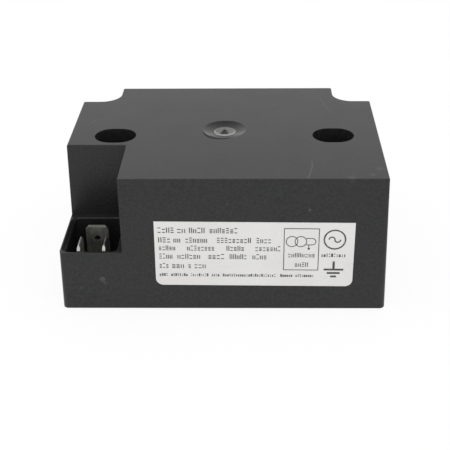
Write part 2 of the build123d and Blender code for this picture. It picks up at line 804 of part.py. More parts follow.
# Circuit board: stopped by the ribs and by the underside of the well
board_inset = wall + board_clearance
board_notch_radius = notch_radius - draft_run + board_inset
board_tube_length = tube_length + 2 * board_slot_clearance
board_tube_width = tube_width + 2 * board_slot_clearance
all_pins = secondary_pins + primary_pins + smoothing_pins + transistor_pins + suppression_pins
all_pins += resonant_pins + varistor_pins + fuse_pins + choke_pins + bridge_pins
all_pins += start_pins + gate_pins + diode_pins
with BuildPart() as board_blank:
    with BuildSketch(Plane.XY.offset(board_height)):
        add(wall_plan(board_inset, inner_corner_radius + draft_run, board_notch_radius))
        add(slots_plan(board_tube_length, board_tube_width), mode=Mode.SUBTRACT)
    extrude(amount=board_thickness)

with BuildPart() as board:
    add(board_blank.part)
    with BuildSketch(Plane.XY.offset(board_height)):
        with Locations(*all_pins):
            Circle(board_hole_diameter / 2)
        for x, y, turn in blades.values():
            with Locations(Location((x, y), turn)):
                Rectangle(blade_tail_width + board_slot_clearance, blade_thickness + board_slot_clearance)
    extrude(amount=board_thickness, mode=Mode.SUBTRACT)
finish(board.part, "circuit_board")

# Potting resin: fills the case round everything on the board
with BuildPart() as core_envelope:
    with BuildSketch(across(secondary_x, window_front_y, coil_z)):
        Circle(secondary_tube_diameter / 2)
    extrude(amount=core_window)
    with BuildSketch(across(primary_x, window_front_y, coil_z)):
        Rectangle(primary_tube_width, primary_tube_height)
    extrude(amount=core_window)

electronics = [board_blank.part, core_envelope.part, hv_pin.part, front_core, back_core]
electronics += [secondary_bobbin.part, primary_bobbin.part, primary_winding, feedback_winding]
electronics += [hv_lead.part, smoothing_capacitor.part, heat_sink.part, transistor.part, screw.part]
electronics += [suppression, resonant, varistor.part, fuse.part, choke_core.part, choke_winding.part]
electronics += [bridge.part, start_resistor, gate_resistor, clamp_diode]
electronics += blade_parts + secondary_windings
with BuildPart() as resin:
    add(cavity.part)
    split(bisect_by=Plane.XY.offset(resin_recess), keep=Keep.TOP)
    for piece in electronics:
        add(piece, mode=Mode.SUBTRACT)
finish(resin.part, "potting_resin")
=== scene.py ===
"""Looks of an electronic ignition transformer, potted in a black moulded case.

The scene is in metres. +Z is up and the rating label faces -Y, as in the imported
model. Sizes are written in millimetres and turned into metres by MM.
"""

import math
import random

import bmesh
import bpy
from mathutils import Matrix, Vector


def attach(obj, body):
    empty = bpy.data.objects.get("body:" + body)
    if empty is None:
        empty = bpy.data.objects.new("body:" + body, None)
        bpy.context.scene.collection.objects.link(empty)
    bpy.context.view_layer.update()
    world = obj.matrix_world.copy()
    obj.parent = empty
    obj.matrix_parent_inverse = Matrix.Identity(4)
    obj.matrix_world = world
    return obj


MM = 0.001
BODY = "root"

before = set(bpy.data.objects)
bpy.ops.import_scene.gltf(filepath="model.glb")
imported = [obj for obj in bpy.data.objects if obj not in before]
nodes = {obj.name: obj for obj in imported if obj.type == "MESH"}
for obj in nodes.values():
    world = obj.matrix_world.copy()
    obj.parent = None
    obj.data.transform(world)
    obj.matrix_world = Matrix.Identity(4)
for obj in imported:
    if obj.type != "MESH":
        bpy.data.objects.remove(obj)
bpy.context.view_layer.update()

# Camera of the photograph, in millimetres and degrees
CAMERA_TARGET = Vector((2.655, 14.0, 0.0))
CAMERA_DISTANCE = 305.304
CAMERA_YAW = 1.288
CAMERA_ELEVATION = 29.364
CAMERA_ROLL = 0.646
CAMERA_LENS = 78.53
CAMERA_SENSOR = 36.0
CAMERA_SHIFT_X = -0.025
CAMERA_NEAR = 10.0
CAMERA_FAR = 20000.0

# Case and earth blade, as the model has them
CASE_HEIGHT = 38.6
TOP_DEPTH = 62.2
DRAFT = math.radians(1.36)
DISH_RADIUS = 6.0
GATE_Z = 37.92
EARTH_BEVEL_Z = 16.7

# Painted shade of a burr at the front left of the dish's rim, where the shape has no groove: a crescent in
# this circle, outside the dish
BURR_SHADE_CENTRE = Vector((-0.88, -1.86, 0.0))
BURR_SHADE_RADIUS = 5.06

# How far an area of the moulding fades inside and outside its edge, and a blade's dull tip below its edge
FADE_INSIDE = 0.1
FADE_OUTSIDE = 0.05
TIP_FADE = 0.15

# Bands of Blender's wave texture lie this far apart at a scale of 1, and the board's threads this far
WAVE_PITCH = 0.314
WEAVE_PITCH = 0.98125

# Least that the pale mottle of a plastic adds to its colour
LEAST_MOTTLE = 0.004

# Scratches on the top: the points of each, its width and its strength
SCRATCHES = [
    ([(-38.2, 4.3), (-37.3, 5.6), (-36.7, 7.4)], 0.5, 0.6),
    ([(27.8, 23.0), (28.6, 19.0), (29.6, 15.0), (30.6, 11.7)], 0.4, 0.6),
    ([(23.4, -20.6), (23.2, -24.5), (21.9, -30.5)], 0.5, 0.8),
]

# Scuffs on the top and the front: the place of each, its radius and its strength
SCUFFS = [
    ((40.6, -25.2, 38.6), 1.5, 0.5),
    ((38.4, -28.6, 38.6), 1.0, 0.5),
    ((33.0, -30.2, 38.6), 1.6, 0.4),
    ((-32.1, -31.8, 9.2), 1.0, 0.9),
    ((-31.5, -31.8, 8.2), 0.6, 0.5),
    ((-38.0, -31.9, 6.6), 0.9, 0.25),
    ((22.5, -31.3, 29.9), 0.4, 1.0),
    ((1.5, -31.3, 31.5), 0.35, 0.5),
    ((-12.0, -31.3, 33.0), 0.3, 0.4),
]

# Relief of the gate mark, on an oval a little off the dish's middle; a reach is 1 at the oval's outline
GATE_CENTRE = Vector((0.08, -0.22, 0.0))
GATE_HALF = Vector((3.16, 2.85))
GATE_RINGS = 44
GATE_STEPS = 132
GATE_TURN_DEPTH = 3.0
GATE_EDGE_FRONT = 0.3
GATE_EDGE_CHANGE = 0.22
GATE_CREST_REACH = 0.9
GATE_CREST_HEIGHT = 0.08
GATE_CREST_WIDTH = 0.1
GATE_PALE_REACH = 0.93
GATE_FLOOR = 0.06
GATE_SWIRL = 0.014
GATE_RIPPLE = 0.009
GATE_SUNK = 0.1
TEAR_CENTRE = Vector((0.0, -0.6))
TEAR_RADIUS = 1.05
TEAR_LENGTH = 1.65
TEAR_FLOOR = 0.008
TEAR_SLOPE = 0.1
LIP_HEIGHT = 0.03
LIP_WIDTH = 0.15

# Rating label: its middle, its turn and its thickness, and the print's
LABEL_MIDDLE_X = 8.3
LABEL_MIDDLE_Z = 16.9
LABEL_TURN = math.radians(-0.5)
LABEL_THICKNESS = 0.15
PRINT_THICKNESS = 0.02
PRINT_SUNK = 0.01

# Marks that stand for type: how many dashes each has, where 0 is two upright ticks, and how tall it may be
MARK_DASHES = (0, 2, 3)
MARK_HEIGHTS = (1.0, 0.75, 0.75)
MARK_PITCH = 0.66
MARK_GAP = 1.3
TICK_PLACES = (0.12, 0.88)
PRINT_SEED = 7

# Lines of print: the words' left and right ends, the foot of the line, its height and its stroke.
# The last three stand in the frame and under the round sign.
TEXT_LINES = [
    ([(-25.1, -20.6), (-20.0, -17.6), (-16.9, -12.6), (-11.6, -4.1)], 6.25, 1.55, 0.26),
    ([(-25.0, -21.6), (-21.0, -19.0), (-17.9, -12.0), (-9.7, -0.6), (0.6, 4.6)], 3.4, 1.5, 0.26),
    ([(-24.9, -20.4), (-17.5, -10.2), (-7.2, -2.4), (0.3, 7.1)], 1.05, 1.45, 0.24),
    ([(-24.9, -21.2), (-20.1, -13.9), (-12.0, -7.6), (-6.4, -1.7), (-0.4, 3.5)], -1.45, 1.5, 0.24),
    ([(-24.9, -22.3), (-21.6, -18.2), (-17.3, -16.4), (-15.7, -12.5)], -4.3, 1.5, 0.24),
    ([(-25.0, -22.6), (-21.9, -17.4), (-16.7, -11.9), (-11.2, -9.0), (-8.2, 5.9), (7.0, 10.3),
      (11.0, 15.9)], -6.75, 0.85, 0.2),
    ([(8.9, 16.1)], -0.75, 1.3, 0.22),
    ([(10.7, 14.4)], -3.6, 1.3, 0.22),
    ([(17.6, 24.2)], -0.6, 1.05, 0.3),
]

# Framed symbol of a transformer: two rings, and a pole with a round end and an earthed foot
FRAME_BOX = (7.75, -4.58, 16.8, 7.75)
FRAME_STROKE = 0.22
RING_CENTRES = [(9.8, 3.95), (12.1, 3.95)]
RING_RADIUS = 1.5
POLE_LEFT = 13.5
POLE_RIGHT = 15.05
POLE_Y = 3.95
POLE_RADIUS = 0.95
POLE_FOOT_X = 14.2
POLE_FOOT_TOP = 2.95
POLE_FOOT_LOW = 2.0
POLE_DOT_Y = 1.85
POLE_DOT_RADIUS = 0.16
POLE_DOT_STROKE = 0.3

# Middle of the round sign and the earth sign, which stand one over the other
SIGNS_X = 20.9

# Round sign for an alternating supply: one wave in a ring
SIGN_Y = 4.6
SIGN_RADIUS = 2.75
SIGN_STROKE = 0.4
WAVE_RADIUS = 0.75
WAVE_STROKE = 0.34

# Earth sign: a stem over three bars, each with its height and its half length
EARTH_STEM_TOP = -1.9
EARTH_STEM_LOW = -4.2
EARTH_STEM_STROKE = 0.6
EARTH_BARS = [(-4.4, 2.6), (-5.45, 1.7), (-6.5, 0.8)]
EARTH_BAR_STROKE = 0.55

# Studio, in metres and watts
SKY_STRENGTH = 0.82
WALLS_UP_TO = 0.55
CEILING_FROM = 0.9
CEILING_COLOR = (0.34, 0.34, 0.35, 1)
FLOOR_HALF = 3.0
FLOOR_Z = -0.0002
FLOOR_COLOR = (0.97, 0.97, 0.97, 1)
FLOOR_WHITE_SHARE = 0.9
LAMP_PLACE = Vector((0.05, -0.14, 0.98))
LAMP_SIZE = 0.9
LAMP_POWER = 3.1


class Finish:
    """A node material on the Principled shader, built up in small steps."""

    def __init__(self, name):
        self.material = bpy.data.materials.new(name)
        self.material.use_nodes = True
        self.tree = self.material.node_tree
        self.shader = self.tree.nodes["Principled BSDF"]
        self.place = self.node("ShaderNodeTexCoord").outputs["Object"]

    def feed(self, socket, value):
        """Link a socket's value, or write a plain one."""
        if isinstance(value, bpy.types.NodeSocket):
            self.tree.links.new(value, socket)
        else:
            socket.default_value = value

    def node(self, kind, inputs=None, **settings):
        """A new node with its settings, and its inputs by name or number."""
        made = self.tree.nodes.new(kind)
        for key, value in settings.items():
            setattr(made, key, value)
        for key, value in (inputs or {}).items():
            self.feed(made.inputs[key], value)
        return made

    def set(self, **values):
        """Set the shader's sockets: base_color becomes Base Color."""
        for key, value in values.items():
            name = key.replace("_", " ").title().replace("Ior", "IOR")
            self.feed(self.shader.inputs[name], value)

    def noise(self, size, detail=2.0, roughness=0.5, stretch=None):
        """Noise whose blotches are about size millimetres across."""
        place = self.place
        if stretch:
            place = self.node("ShaderNodeMapping", {"Vector": place, "Scale": stretch}).outputs["Vector"]
        inputs = {"Vector": place, "Scale": 1 / (size * MM), "Detail": detail, "Roughness": roughness}
        return self.node("ShaderNodeTexNoise", inputs).outputs[0]

    def wave(self, pitch, direction, distortion):
        """Bands across one axis, with their pitch in millimetres."""
        inputs = {"Vector": self.place, "Scale": WAVE_PITCH / (pitch * MM), "Distortion": distortion}
        return self.node("ShaderNodeTexWave", inputs, bands_direction=direction).outputs["Fac"]

    def spread(self, value, low, high, start=0.0, end=1.0):
        """Turn low..high into start..end, and stay within it."""
        inputs = {"Value": value, "From Min": low, "From Max": high, "To Min": start, "To Max": end}
        return self.node("ShaderNodeMapRange", inputs).outputs["Result"]

    def math(self, operation, first, second=0.0):
        """One number worked out from two."""
        return self.node("ShaderNodeMath", {0: first, 1: second}, operation=operation).outputs[0]

    def vector(self, operation, first, second=(0, 0, 0), output="Vector"):
        """A vector, or with output="Value" a number, worked out from two vectors."""
        made = self.node("ShaderNodeVectorMath", {0: first, 1: second}, operation=operation)
        return made.outputs[output]

    def blend(self, factor, first, second):
        """Mix two colours."""
        mixer = self.node("ShaderNodeMix", data_type="RGBA")
        self.feed(mixer.inputs[0], factor)
        self.feed(mixer.inputs[6], first)
        self.feed(mixer.inputs[7], second)
        return mixer.outputs[2]

    def bump(self, height, depth, strength=1.0, under=None):
        """Bump of about depth millimetres, on top of another one."""
        inputs = {"Height": height, "Distance": depth * MM, "Strength": strength}
        if under is not None:
            inputs["Normal"] = under
        return self.node("ShaderNodeBump", inputs).outputs["Normal"]

    def axis(self, index, place=None):
        """One coordinate, in metres."""
        return self.node("ShaderNodeSeparateXYZ", {0: place or self.place}).outputs[index]

    def line(self, start, end, width):
        """1 on the middle of a thin line between two points in millimetres, 0 off it."""
        start = Vector(start) * MM
        run = Vector(end) * MM - start
        offset = self.vector("SUBTRACT", self.place, start)
        along = self.vector("DOT_PRODUCT", offset, run / run.length_squared, "Value")
        along = self.spread(along, 0.0, 1.0)
        foot = self.node("ShaderNodeVectorMath", {0: run, "Scale": along}, operation="SCALE")
        distance = self.vector("DISTANCE", offset, foot.outputs["Vector"], "Value")
        return self.spread(distance, 0.0, width * MM / 2, 1.0, 0.0)

    def spot(self, centre, radius):
        """1 at a point in millimetres, fading to 0 at the radius."""
        distance = self.vector("DISTANCE", self.place, Vector(centre) * MM, "Value")
        return self.spread(distance, 0.0, radius * MM, 1.0, 0.0)

    def disc(self, distance, radius):
        """1 inside a circle and 0 outside it, from the distance to its centre."""
        return self.spread(distance, (radius - FADE_INSIDE) * MM, (radius + FADE_OUTSIDE) * MM, 1.0, 0.0)


def grey(level, warmth=0.0):
    """Linear grey with a slight warm or cool cast."""
    return (level * (1 + warmth), level, level * (1 - warmth), 1.0)


def paint(color, factor=1.0):
    """A colour made lighter or darker by a factor, with its alpha."""
    return tuple(factor * c for c in color) + (1.0,)


def dish_areas(finish):
    """The smooth bowl of the dish, and a crescent of painted shade outside its rim."""
    flat = finish.vector("MULTIPLY", finish.place, (1, 1, 0))
    bowl = finish.disc(finish.vector("LENGTH", flat, output="Value"), DISH_RADIUS)
    burr_shade_circle = finish.disc(finish.vector("DISTANCE", flat, BURR_SHADE_CENTRE * MM, "Value"), BURR_SHADE_RADIUS)
    return bowl, finish.math("MULTIPLY", burr_shade_circle, finish.math("SUBTRACT", 1.0, bowl))


def handling_marks(finish, fleck):
    """1 where the skin is scraped: loose flecks, the scratches and the scuffs."""
    wear = finish.spread(fleck, 0.74, 0.82, 0.0, 0.3)
    for points, width, strength in SCRATCHES:
        for start, end in zip(points, points[1:]):
            line = finish.line((*start, CASE_HEIGHT), (*end, CASE_HEIGHT), width)
            wear = finish.math("MAXIMUM", wear, finish.math("MULTIPLY", line, strength))
    for centre, radius, strength in SCUFFS:
        spot = finish.spot(centre, radius)
        wear = finish.math("MAXIMUM", wear, finish.math("MULTIPLY", spot, strength))
    return wear


def black_moulding():
    """Spark-textured black moulding, cloudy and lightly scuffed, with a crescent of painted shade outside
    the dish's rim.
    """
    finish = Finish("black_moulding")
    cloud = finish.noise(9.0, detail=3.0)
    mottle = finish.noise(0.7, detail=3.0, roughness=0.6)
    grain = finish.noise(0.16, detail=2.0, roughness=0.7)
    fleck = finish.noise(0.35, detail=1.0)

    skin = finish.blend(finish.spread(cloud, 0.35, 0.65), grey(0.014, -0.04), grey(0.0165, 0.02))
    skin = finish.blend(finish.spread(mottle, 0.38, 0.62), skin, grey(0.0235, -0.01))
    patchy = finish.spread(mottle, 0.2, 0.7, 0.35, 1.0)
    scraped = finish.math("MULTIPLY", handling_marks(finish, fleck), patchy)
    color = finish.blend(scraped, skin, grey(0.11))

    bowl, painted_burr_shade = dish_areas(finish)
    # Painted shade: the crescent outside the dish's rim is darkened in colour, standing for the shade of a
    # burr.
    color = finish.blend(painted_burr_shade, color, grey(0.012))
    rough = finish.spread(finish.math("ADD", mottle, cloud), 0.6, 1.4, 0.3, 0.38)
    rough = finish.math("SUBTRACT", rough, finish.math("MULTIPLY", bowl, 0.15))
    normal = finish.bump(grain, 0.012, 0.5)
    normal = finish.bump(mottle, 0.04, finish.spread(bowl, 0.0, 1.0, 0.8, 0.25), under=normal)
    finish.set(base_color=color, roughness=rough, normal=normal, ior=1.385)
    # The painted shade crescent also loses most of its specular.
    finish.set(specular_ior_level=finish.spread(painted_burr_shade, 0.0, 1.0, 0.5, 0.1))
    return finish.material


def gate_plastic():
    """Torn moulding material, paler than the skin round it, most of all in a crescent at the front."""
    finish = Finish("gate_plastic")
    patch = finish.noise(1.1, detail=4.0, roughness=0.65)
    grain = finish.noise(0.2, detail=2.0)
    fibre = finish.noise(0.5, detail=3.0, roughness=0.7)
    offset = finish.vector("SUBTRACT", finish.place, GATE_CENTRE * MM)
    shape = Vector((1 / GATE_HALF.x, 1 / GATE_HALF.y, 0)) / MM
    reach = finish.vector("LENGTH", finish.vector("MULTIPLY", offset, shape), output="Value")
    front = finish.spread(finish.axis(1, offset), -2.0 * MM, 1.5 * MM, 1.0, 0.0)
    ring = finish.spread(reach, finish.spread(front, 0.0, 1.0, 0.82, 0.6), GATE_PALE_REACH)
    pale = finish.math("MULTIPLY", finish.spread(front, 0.0, 1.0, 0.55, 1.0), ring)
    outline = finish.spread(reach, GATE_PALE_REACH, 1.0, 1.0, 0.0)
    pit = finish.spread(finish.axis(2), (GATE_Z + 0.01) * MM, (GATE_Z + 0.03) * MM, 1.0, 0.0)
    pit = finish.math("MULTIPLY", pit, finish.spread(reach, 0.75, 0.85, 1.0, 0.0))
    torn = finish.blend(finish.spread(fibre, 0.45, 0.65), grey(0.014), grey(0.085, 0.03))
    color = finish.blend(finish.spread(patch, 0.35, 0.65), grey(0.09, 0.02), grey(0.19, 0.03))
    color = finish.blend(pale, color, grey(0.36, 0.01))
    color = finish.blend(outline, grey(0.03), color)
    color = finish.blend(pit, color, torn)
    finish.set(base_color=color, roughness=finish.spread(grain, 0.3, 0.7, 0.45, 0.65))
    finish.set(specular_ior_level=finish.spread(pit, 0.0, 1.0, 0.4, 0.05))
    finish.set(normal=finish.bump(grain, 0.03, 0.6))
    return finish.material


def poured_resin():
    """Black casting resin with a skinned, slightly wavy surface."""
    finish = Finish("poured_resin")
    swell = finish.noise(14.0, detail=2.0)
    dust = finish.noise(0.5, detail=3.0, roughness=0.7)
    color = finish.blend(finish.spread(dust, 0.55, 0.8), grey(0.009, -0.03), grey(0.03))
    finish.set(base_color=color, roughness=finish.spread(dust, 0.4, 0.8, 0.12, 0.4))
    finish.set(normal=finish.bump(swell, 0.6, 0.5))
    return finish.material


def label_stock():
    """White printed film, a little aged, with a satin face."""
    finish = Finish("label_stock")
    tone = finish.noise(12.0, detail=3.0)
    fibre = finish.noise(0.4, detail=2.0)
    color = finish.blend(finish.spread(tone, 0.3, 0.7), (0.76, 0.75, 0.735, 1), (0.80, 0.795, 0.785, 1))
    color = finish.blend(finish.spread(fibre, 0.6, 0.8, 0.0, 0.35), color, (0.71, 0.705, 0.70, 1))
    finish.set(base_color=color, roughness=finish.spread(fibre, 0.3, 0.7, 0.42, 0.55))
    finish.set(normal=finish.bump(fibre, 0.006, 0.4))
    return finish.material


def print_ink():
    """Dark grey print that is thin in places."""
    finish = Finish("print_ink")
    thin = finish.noise(0.55, detail=3.0, roughness=0.6)
    color = finish.blend(finish.spread(thin, 0.5, 0.72), grey(0.04), grey(0.2))
    finish.set(base_color=color, roughness=finish.spread(thin, 0.3, 0.7, 0.4, 0.6))
    return finish.material


def metal(name, color, roughness, streak=None, size=0.6, dull_above=None):
    """Plated or mill-finish metal with faint streaks along its rolling direction, dull above a height."""
    finish = Finish(name)
    lines = finish.noise(size, detail=4.0, roughness=0.65, stretch=streak)
    tarnish = finish.noise(2.4, detail=3.0)
    tone = finish.blend(finish.spread(tarnish, 0.4, 0.75), paint(color), paint(color, 0.62))
    if dull_above is not None:
        tip = finish.spread(finish.axis(2), (dull_above - TIP_FADE) * MM, dull_above * MM)
        tone = finish.blend(tip, tone, paint(color, 0.3))
    finish.set(base_color=tone, metallic=1.0)
    finish.set(roughness=finish.spread(lines, 0.3, 0.7, roughness - 0.07, roughness + 0.1))
    finish.set(normal=finish.bump(lines, 0.004, 0.5))
    return finish.material


def plastic(name, color, roughness=0.45, size=1.2, change=0.3, coat=0.0):
    """Moulded, dipped or sintered surface with mottling and a fine grain."""
    finish = Finish(name)
    mottle = finish.noise(size, detail=3.0, roughness=0.6)
    grain = finish.noise(size / 6, detail=2.0)
    lighter = tuple(c * (1 + change) + LEAST_MOTTLE for c in color)
    tone = finish.blend(finish.spread(mottle, 0.3, 0.7), paint(color, 1 - change), paint(lighter))
    finish.set(base_color=tone, coat_weight=coat)
    finish.set(roughness=finish.spread(mottle, 0.3, 0.7, roughness - 0.06, roughness + 0.08))
    finish.set(normal=finish.bump(grain, 0.01, 0.5))
    return finish.material


def laminate():
    """Bare fibreglass board with its weave."""
    finish = Finish("laminate")
    threads = [finish.wave(WEAVE_PITCH, direction, distortion=0.4) for direction in ("X", "Y")]
    weave = finish.math("MULTIPLY", *threads)
    finish.set(base_color=finish.blend(weave, (0.27, 0.24, 0.10, 1), (0.38, 0.34, 0.17, 1)))
    finish.set(roughness=finish.spread(weave, 0.0, 1.0, 0.5, 0.35))
    finish.set(normal=finish.bump(weave, 0.02, 0.4))
    return finish.material


def wound_wire(name, direction, pitch):
    """Enamelled copper wire, wound turn beside turn along one axis."""
    finish = Finish(name)
    turns = finish.wave(pitch, direction, distortion=0.15)
    drift = finish.noise(3.0, detail=2.0)
    enamel = finish.blend(finish.spread(drift, 0.3, 0.7), (0.52, 0.20, 0.08, 1), (0.68, 0.30, 0.14, 1))
    color = finish.blend(turns, (0.12, 0.035, 0.015, 1), enamel)
    finish.set(base_color=color, metallic=0.8, coat_weight=0.5)
    finish.set(roughness=finish.spread(turns, 0.0, 1.0, 0.5, 0.28))
    finish.set(normal=finish.bump(turns, 0.08, 0.8))
    return finish.material


def dress_nodes():
    """Give each node of the model its finish."""
    tin = metal("tinned_blade", (0.76, 0.75, 0.72), 0.4, streak=(1, 1, 0.12))
    dull_tin = metal("dull_blade", (0.62, 0.61, 0.55), 0.47, streak=(1, 1, 0.12), dull_above=EARTH_BEVEL_Z)
    nickel = metal("nickel_pin", (0.66, 0.64, 0.60), 0.24, streak=(1, 0.1, 1), size=0.4)
    aluminium = metal("mill_aluminium", (0.72, 0.72, 0.73), 0.38, streak=(0.1, 1, 1))
    zinc = metal("zinc_screw", (0.62, 0.63, 0.65), 0.32, size=0.3)
    ferrite = plastic("ground_ferrite", (0.035, 0.035, 0.038), 0.5, size=0.5)
    bobbin = plastic("bobbin_moulding", (0.025, 0.025, 0.027), 0.4)
    epoxy = plastic("component_epoxy", (0.02, 0.02, 0.021), 0.55, size=0.4)
    yellow_box = plastic("capacitor_box", (0.58, 0.40, 0.05), 0.35, size=3.0, change=0.08)
    dipped_blue = plastic("varistor_coating", (0.03, 0.10, 0.34), 0.25, size=2.0, change=0.15, coat=0.6)
    lacquer = plastic("resistor_lacquer", (0.50, 0.36, 0.22), 0.35, size=1.5, change=0.1, coat=0.4)
    secondary_wire = wound_wire("secondary_wire", "Y", pitch=0.14)
    primary_wire = wound_wire("primary_wire", "Y", pitch=0.4)
    choke_wire = wound_wire("choke_wire", "Z", pitch=0.5)
    finishes = {
        "case": black_moulding(),
        "potting_resin": poured_resin(),
        "rating_label": label_stock(),
        "circuit_board": laminate(),
        "line_terminal": tin,
        "neutral_terminal": tin,
        "earth_terminal": dull_tin,
        "high_voltage_pin": nickel,
        "front_core_half": ferrite,
        "back_core_half": ferrite,
        "core_gap_shims": plastic("shim_film", (0.62, 0.58, 0.44), 0.3, change=0.06),
        "primary_bobbin": bobbin,
        "primary_winding": primary_wire,
        "feedback_winding": primary_wire,
        "secondary_bobbin": bobbin,
        "high_voltage_lead": plastic("lead_silicone", (0.36, 0.03, 0.02), 0.5, change=0.15),
        "mains_fuse": plastic("fuse_case", (0.16, 0.05, 0.02), 0.35, change=0.15),
        "varistor": dipped_blue,
        "suppression_capacitor": yellow_box,
        "choke_core": ferrite,
        "choke_winding": choke_wire,
        "bridge_rectifier": epoxy,
        "smoothing_capacitor": plastic("capacitor_sleeve", (0.02, 0.03, 0.09), 0.3, size=4.0, coat=0.5),
        "resonant_capacitor": yellow_box,
        "power_transistor": epoxy,
        "heat_sink": aluminium,
        "transistor_screw": zinc,
        "start_resistor": lacquer,
        "gate_resistor": lacquer,
        "clamp_diode": epoxy,
    }
    for name, node in nodes.items():
        material = secondary_wire if name.startswith("secondary_winding") else finishes[name]
        for slot in node.material_slots:
            slot.material = material


def add_piece(name, mesh, material):
    """Put a new piece into the scene, on the one body of this part."""
    mesh.materials.append(material)
    piece = bpy.data.objects.new(name, mesh)
    bpy.context.scene.collection.objects.link(piece)
    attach(piece, BODY)


def within_one(value):
    """The value, kept between 0 and 1."""
    return min(1.0, max(0.0, value))


def tear_reach(angle):
    """How far the torn spot reaches at an angle: three blunt points with a ragged edge."""
    blunt = 0.2 * math.cos(3 * (angle - math.pi / 2))
    ragged = 0.08 * math.sin(7 * angle + 1.0) + 0.07 * math.sin(12 * angle + 2.0)
    return TEAR_RADIUS * (1 + blunt + ragged)


def gate_height(x, y, reach):
    """Height of the torn gate over the disc that it stands on, in millimetres."""
    far_side = within_one(0.5 + y / GATE_TURN_DEPTH)
    crest = GATE_CREST_HEIGHT * far_side * math.exp(-(((reach - GATE_CREST_REACH) / GATE_CREST_WIDTH) ** 2))
    swirl = GATE_SWIRL * math.sin(2.3 * x + 0.8) * math.sin(2.9 * y + 1.7)
    uneven = swirl + GATE_RIPPLE * math.sin(5.1 * x - 3.7 * y)
    edge = within_one((1.0 - reach) / (GATE_EDGE_FRONT - GATE_EDGE_CHANGE * far_side))
    spot = Vector((x, y)) - TEAR_CENTRE
    spot.y /= TEAR_LENGTH
    inside = tear_reach(math.atan2(spot.y, spot.x)) - spot.length
    lip = LIP_HEIGHT * math.exp(-((inside / LIP_WIDTH) ** 2))
    torn = within_one(inside / TEAR_SLOPE)
    whole = (GATE_FLOOR + crest + uneven + lip) * edge
    return whole + (TEAR_FLOOR - whole) * torn


def gate_mark(material):
    """Torn stub of the moulding gate: a round relief with a raised rim and a ragged pit."""
    build = bmesh.new()
    middle_z = GATE_Z + gate_height(GATE_CENTRE.x, GATE_CENTRE.y, 0.0)
    middle = build.verts.new((GATE_CENTRE.x, GATE_CENTRE.y, middle_z))
    rings = []
    for i in range(1, GATE_RINGS + 1):
        reach = i / GATE_RINGS
        ring = []
        for j in range(GATE_STEPS):
            angle = math.tau * j / GATE_STEPS
            x = GATE_CENTRE.x + GATE_HALF.x * reach * math.cos(angle)
            y = GATE_CENTRE.y + GATE_HALF.y * reach * math.sin(angle)
            ring.append(build.verts.new((x, y, GATE_Z + gate_height(x, y, reach))))
        rings.append(ring)
    bottom_z = GATE_Z - GATE_SUNK
    skirt = [build.verts.new((v.co.x, v.co.y, bottom_z)) for v in rings[-1]]
    rings.append(skirt)
    for j in range(GATE_STEPS):
        build.faces.new((middle, rings[0][j], rings[0][(j + 1) % GATE_STEPS]))
    for inner, outer in zip(rings, rings[1:]):
        for j in range(GATE_STEPS):
            k = (j + 1) % GATE_STEPS
            build.faces.new((inner[j], outer[j], outer[k], inner[k]))
    build.faces.new(list(reversed(skirt)))
    bmesh.ops.scale(build, vec=(MM, MM, MM), verts=build.verts)
    bmesh.ops.recalc_face_normals(build, faces=build.faces)
    mesh = bpy.data.meshes.new("gate_mark")
    build.to_mesh(mesh)
    build.free()
    for polygon in mesh.polygons:
        polygon.use_smooth = True
    add_piece("gate_mark", mesh, material)


def label_matrix():
    """From the label's own plane, x along its lower edge and y up it, to the part's frame."""
    middle_y = -TOP_DEPTH / 2 - (CASE_HEIGHT - LABEL_MIDDLE_Z) * math.tan(DRAFT)
    out = Vector((0, -math.cos(DRAFT), math.sin(DRAFT)))
    along = Vector((math.cos(LABEL_TURN), 0, math.sin(LABEL_TURN)))
    up = out.cross(along).normalized()
    along = up.cross(out).normalized()
    rotation = Matrix((along, up, out)).transposed().to_4x4()
    middle = Vector((LABEL_MIDDLE_X, middle_y, LABEL_MIDDLE_Z)) + out * LABEL_THICKNESS
    return Matrix.Scale(MM, 4) @ Matrix.Translation(middle) @ rotation


